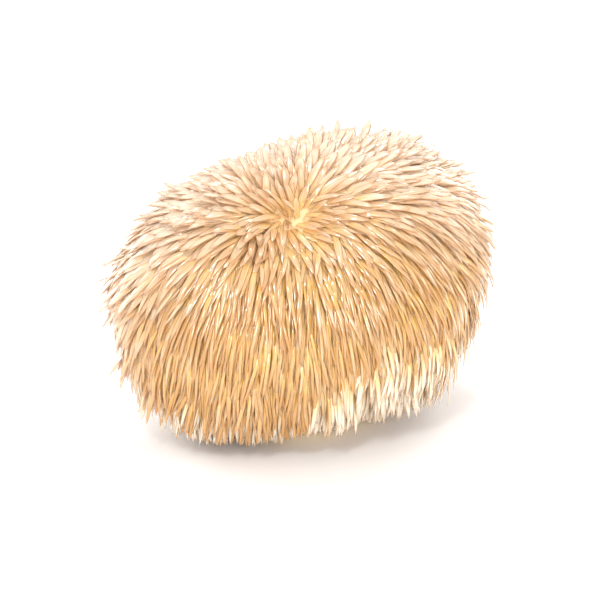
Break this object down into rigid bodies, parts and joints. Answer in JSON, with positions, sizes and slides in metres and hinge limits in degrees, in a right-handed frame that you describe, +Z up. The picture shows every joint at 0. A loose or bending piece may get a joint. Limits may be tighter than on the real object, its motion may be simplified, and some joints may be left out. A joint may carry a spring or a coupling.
{
  "type": "lion's mane mushroom",
  "caption": "Picked lion's mane mushroom: a rounded, bean-shaped body covered in soft spines that part at a crown and hang down, cut off flat at the foot.",
  "frame": {"origin": "middle of the flat cut face of the foot, which rests on a surface", "axes": "+X along the mushroom's length towards its smaller, raised end, +Z up, the crown where the spines part faces -Y"},
  "size_m": [0.1484, 0.1043, 0.106],
  "materials": {
    "flesh": "waxy, slightly translucent flesh, cream to honey; matte_plastic stands in for it"
  },
  "bodies": {
    "root": {"fruit_body": "flesh"}
  },
  "joints": []
}
